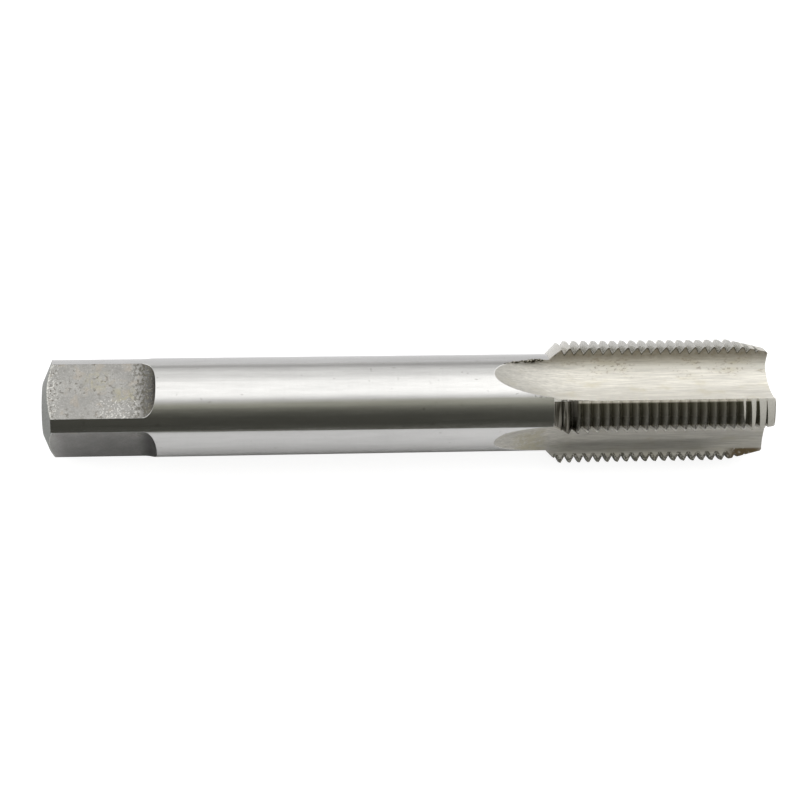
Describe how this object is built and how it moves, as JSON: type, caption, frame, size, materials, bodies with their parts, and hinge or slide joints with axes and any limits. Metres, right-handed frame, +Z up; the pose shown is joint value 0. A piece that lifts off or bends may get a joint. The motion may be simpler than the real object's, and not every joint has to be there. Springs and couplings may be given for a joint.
{
  "type": "thread tap",
  "caption": "Straight-fluted hand tap that cuts a right-hand internal thread, with a plain ground shank, a driving square at one end and a tapered cutting lead at the other.",
  "frame": {"origin": "on the tap's axis at the end face of the driving square", "axes": "+X along the axis from the driving square to the cutting lead, +Z up as the tap lies with one flute facing straight down"},
  "size_m": [0.1037, 0.0156, 0.0155],
  "materials": {
    "tool_steel": "ground high speed steel, bright on the shank, satin in the flutes, dark in the thread grooves"
  },
  "bodies": {
    "root": {"tap": "tool_steel"}
  },
  "joints": []
}
